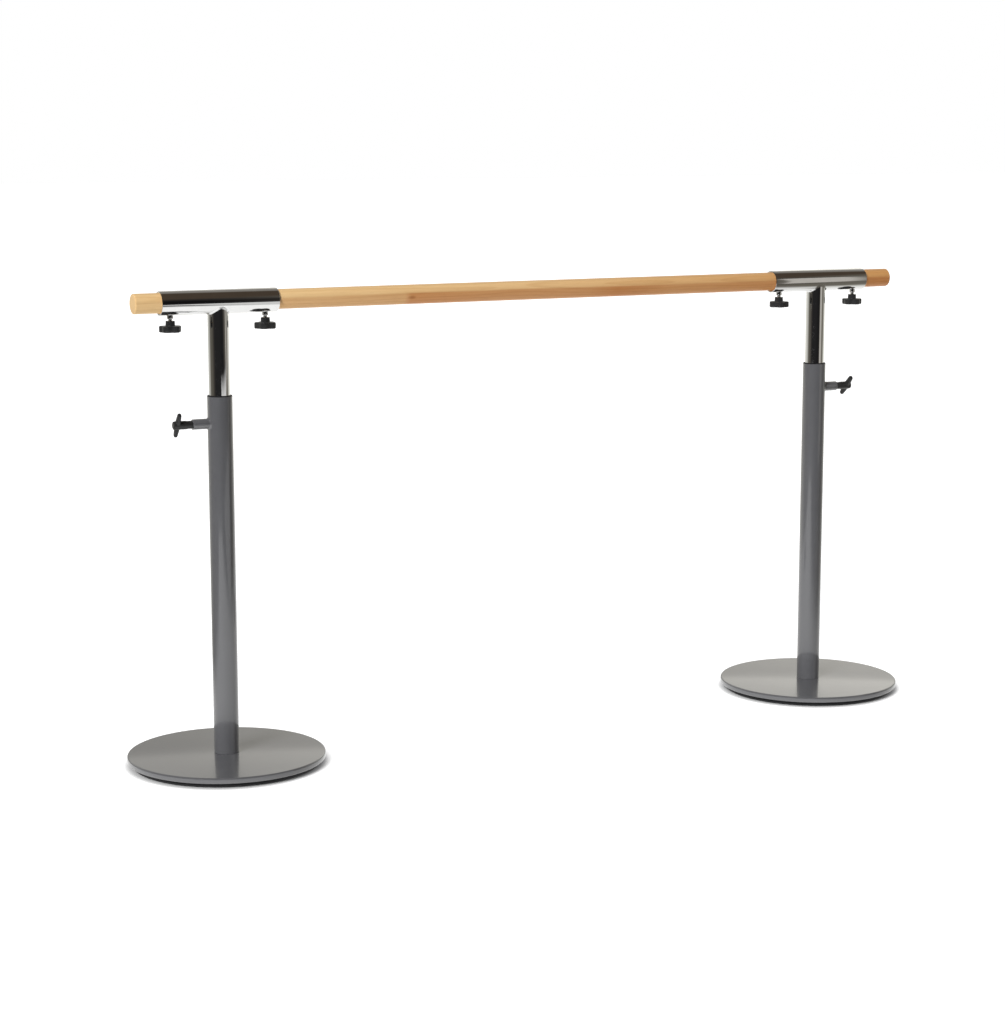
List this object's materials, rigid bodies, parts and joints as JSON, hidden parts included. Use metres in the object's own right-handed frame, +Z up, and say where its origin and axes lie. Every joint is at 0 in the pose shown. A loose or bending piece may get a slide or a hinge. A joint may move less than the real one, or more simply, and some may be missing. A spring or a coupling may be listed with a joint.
{
  "type": "ballet and pilates barre",
  "caption": "Free-standing height-adjustable barre: round wooden rail clamped in chromed sleeves on telescoping posts with heavy round bases.",
  "frame": {"origin": "on the floor, midway between the two posts", "axes": "+Z up, +X along the barre from the left stand to the right stand, -Y towards the user in the picture"},
  "size_m": [2.1764, 0.4784, 1.1443],
  "materials": {
    "wood": "clear satin lacquer on pale ash",
    "chrome": "polished chrome plate on steel tube",
    "paint": "semi-gloss charcoal grey metallic powder coat on steel",
    "steel": "zinc-plated steel",
    "brass": "plain turned brass",
    "plastic": "moulded black plastic, satin",
    "nylon": "black nylon",
    "rubber": "black rubber"
  },
  "bodies": {
    "left_stand": {"left_base_plate": "paint", "left_foot_ring": "rubber", "left_base_bolt": "steel", "left_base_washer": "steel", "left_post_plug": "steel", "left_outer_post": "paint", "left_guide_bush": "nylon", "left_lock_boss": "paint"},
    "left_upright": {"left_inner_post": "chrome", "left_bottom_glide": "nylon", "left_sleeve": "chrome", "left_outer_clamp_boss": "chrome", "left_inner_clamp_boss": "chrome"},
    "barre": {"barre": "wood"},
    "right_upright": {"right_inner_post": "chrome", "right_bottom_glide": "nylon", "right_sleeve": "chrome", "right_outer_clamp_boss": "chrome", "right_inner_clamp_boss": "chrome"},
    "right_stand": {"right_base_plate": "paint", "right_foot_ring": "rubber", "right_base_bolt": "steel", "right_base_washer": "steel", "right_post_plug": "steel", "right_outer_post": "paint", "right_guide_bush": "nylon", "right_lock_boss": "paint"},
    "left_lock_pad": {"left_lock_pad": "brass"},
    "left_lock_knob": {"left_lock_screw": "chrome", "left_lock_knob": "plastic"},
    "left_outer_clamp_pad": {"left_outer_clamp_pad": "brass"},
    "left_outer_clamp_knob": {"left_outer_clamp_screw": "chrome", "left_outer_clamp_knob": "plastic"},
    "left_inner_clamp_pad": {"left_inner_clamp_pad": "brass"},
    "left_inner_clamp_knob": {"left_inner_clamp_screw": "chrome", "left_inner_clamp_knob": "plastic"},
    "right_lock_pad": {"right_lock_pad": "brass"},
    "right_lock_knob": {"right_lock_screw": "chrome", "right_lock_knob": "plastic"},
    "right_outer_clamp_pad": {"right_outer_clamp_pad": "brass"},
    "right_outer_clamp_knob": {"right_outer_clamp_screw": "chrome", "right_outer_clamp_knob": "plastic"},
    "right_inner_clamp_pad": {"right_inner_clamp_pad": "brass"},
    "right_inner_clamp_knob": {"right_inner_clamp_screw": "chrome", "right_inner_clamp_knob": "plastic"}
  },
  "joints": [
    {"name": "left_height", "type": "slide", "parent": "left_stand", "child": "left_upright", "axis": [0, 0, 1], "range_m": [-0.17, 0.08]},
    {"name": "barre_slide", "type": "slide", "parent": "left_upright", "child": "barre", "axis": [1, 0, 0], "range_m": [-0.6, 0.063]},
    {"name": "right_slide", "type": "slide", "parent": "barre", "child": "right_upright", "axis": [1, 0, 0], "range_m": [-0.6, 0.081]},
    {"name": "right_height", "type": "slide", "parent": "right_upright", "child": "right_stand", "axis": [0, 0, 1], "range_m": [-0.08, 0.17]},
    {"name": "left_lock_travel", "type": "slide", "parent": "left_stand", "child": "left_lock_pad", "axis": [-1, 0, 0], "range_m": [0, 0.00525]},
    {"name": "left_lock_turn", "type": "hinge", "parent": "left_lock_pad", "child": "left_lock_knob", "pos_m": [-0.93265, 0, 0.8283], "axis": [-1, 0, 0], "range_deg": [0, 1080]},
    {"name": "left_outer_clamp_travel", "type": "slide", "parent": "left_upright", "child": "left_outer_clamp_pad", "axis": [0, 0, -1], "range_m": [0, 0.003]},
    {"name": "left_outer_clamp_turn", "type": "hinge", "parent": "left_outer_clamp_pad", "child": "left_outer_clamp_knob", "pos_m": [-0.9675, 0, 1.0744], "axis": [0, 0, -1], "range_deg": [0, 720]},
    {"name": "left_inner_clamp_travel", "type": "slide", "parent": "left_upright", "child": "left_inner_clamp_pad", "axis": [0, 0, -1], "range_m": [0, 0.003]},
    {"name": "left_inner_clamp_turn", "type": "hinge", "parent": "left_inner_clamp_pad", "child": "left_inner_clamp_knob", "pos_m": [-0.7305, 0, 1.0744], "axis": [0, 0, -1], "range_deg": [0, 720]},
    {"name": "right_lock_travel", "type": "slide", "parent": "right_stand", "child": "right_lock_pad", "axis": [1, 0, 0], "range_m": [0, 0.00525]},
    {"name": "right_lock_turn", "type": "hinge", "parent": "right_lock_pad", "child": "right_lock_knob", "pos_m": [0.93265, 0, 0.8283], "axis": [1, 0, 0], "range_deg": [0, 1080]},
    {"name": "right_outer_clamp_travel", "type": "slide", "parent": "right_upright", "child": "right_outer_clamp_pad", "axis": [0, 0, -1], "range_m": [0, 0.003]},
    {"name": "right_outer_clamp_turn", "type": "hinge", "parent": "right_outer_clamp_pad", "child": "right_outer_clamp_knob", "pos_m": [0.9675, 0, 1.0744], "axis": [0, 0, -1], "range_deg": [0, 720]},
    {"name": "right_inner_clamp_travel", "type": "slide", "parent": "right_upright", "child": "right_inner_clamp_pad", "axis": [0, 0, -1], "range_m": [0, 0.003]},
    {"name": "right_inner_clamp_turn", "type": "hinge", "parent": "right_inner_clamp_pad", "child": "right_inner_clamp_knob", "pos_m": [0.7305, 0, 1.0744], "axis": [0, 0, -1], "range_deg": [0, 720]}
  ],
  "couplings": [
    {"joint": "right_height", "follows": "left_height", "ratio": -1},
    {"joint": "left_lock_turn", "follows": "left_lock_travel", "rad_per_m": 3590},
    {"joint": "left_outer_clamp_turn", "follows": "left_outer_clamp_travel", "rad_per_m": 4188.4},
    {"joint": "left_inner_clamp_turn", "follows": "left_inner_clamp_travel", "rad_per_m": 4188.4},
    {"joint": "right_lock_turn", "follows": "right_lock_travel", "rad_per_m": 3590},
    {"joint": "right_outer_clamp_turn", "follows": "right_outer_clamp_travel", "rad_per_m": 4188.4},
    {"joint": "right_inner_clamp_turn", "follows": "right_inner_clamp_travel", "rad_per_m": 4188.4}
  ]
}
